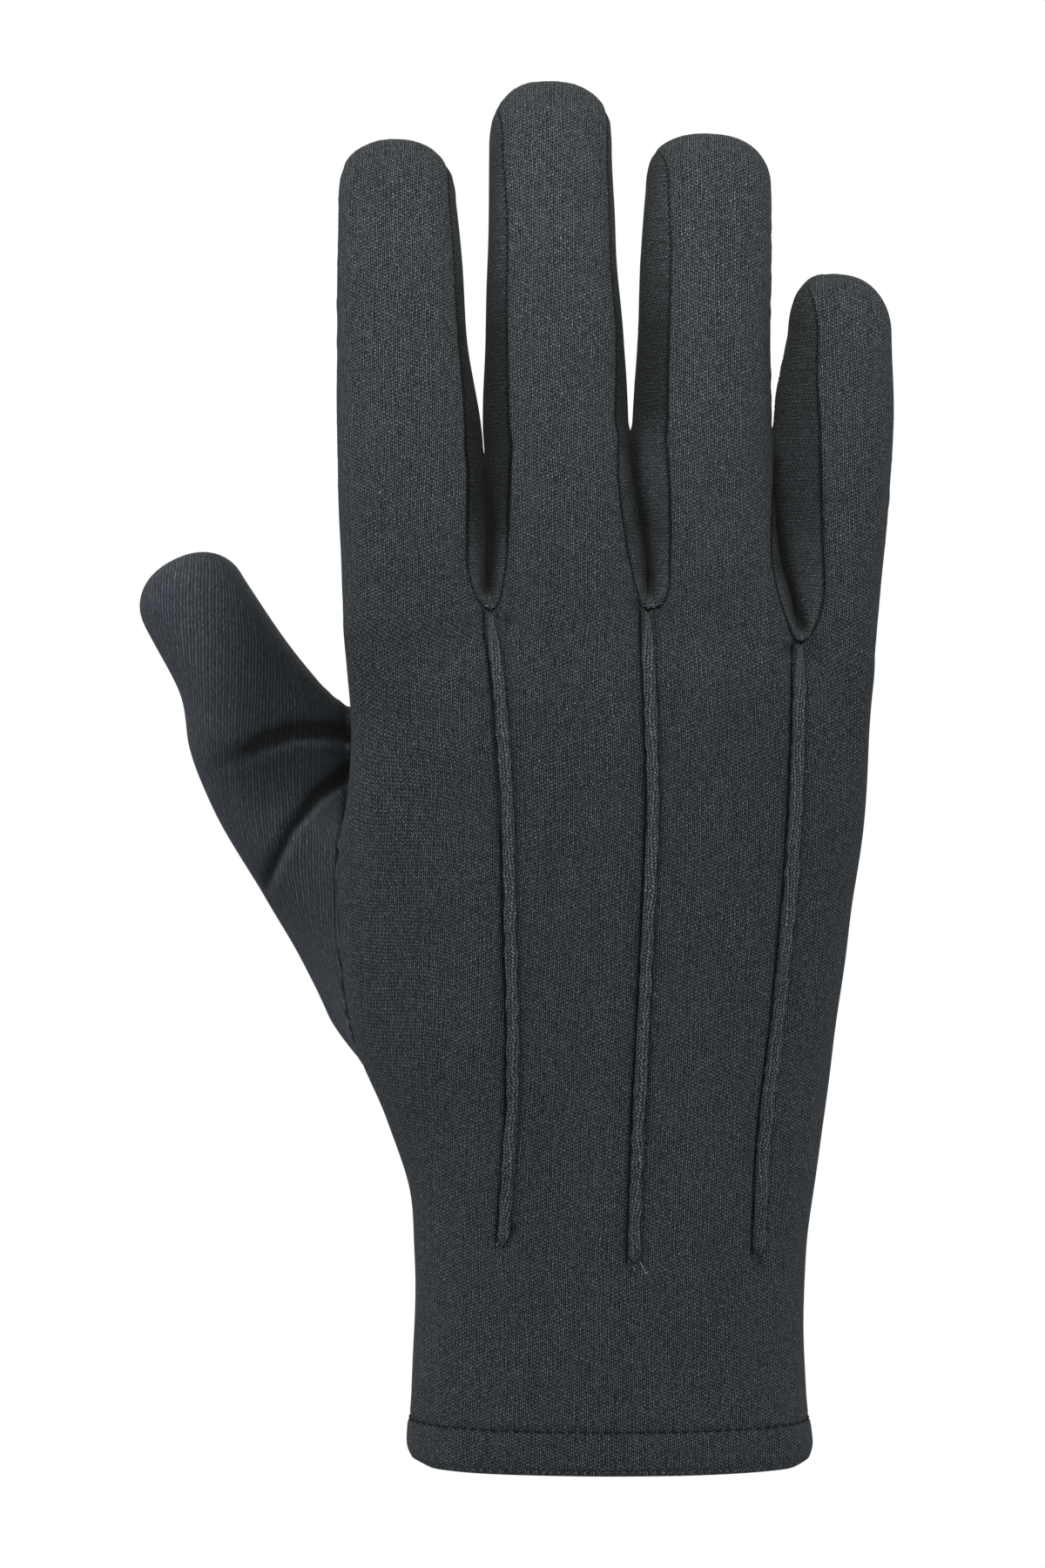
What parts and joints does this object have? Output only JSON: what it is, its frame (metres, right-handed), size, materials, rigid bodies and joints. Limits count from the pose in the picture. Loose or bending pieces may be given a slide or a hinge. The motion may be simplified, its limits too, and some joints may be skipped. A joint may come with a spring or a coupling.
{
  "type": "dress glove",
  "caption": "Charcoal knitted cotton dress glove for the right hand, open and hollow, with raised tucks on the back, fourchettes between the fingers and a turned-up hem.",
  "frame": {"origin": "centre of the open cuff, on its lower edge, where a wrist goes in", "axes": "+Z from the cuff to the fingertips, +X towards the little finger, +Y towards the palm, so the back of the hand faces -Y"},
  "size_m": [0.1313, 0.0485, 0.2373],
  "materials": {
    "cotton_knit": "matt charcoal interlock knit",
    "thumb_knit": "matt charcoal interlock knit, stretched along the thumb",
    "fourchette_knit": "matt charcoal interlock knit, cut crosswise",
    "tuck_knit": "matt charcoal interlock knit, folded and stitched",
    "hem_knit": "matt charcoal interlock knit, doubled"
  },
  "bodies": {
    "root": {"back_panel": "cotton_knit", "palm_panel": "cotton_knit", "thumb": "thumb_knit", "fourchette_index_middle": "fourchette_knit", "fourchette_middle_ring": "fourchette_knit", "fourchette_ring_little": "fourchette_knit", "pintuck_index": "tuck_knit", "pintuck_middle": "tuck_knit", "pintuck_ring": "tuck_knit", "cuff_hem": "hem_knit"}
  },
  "joints": []
}
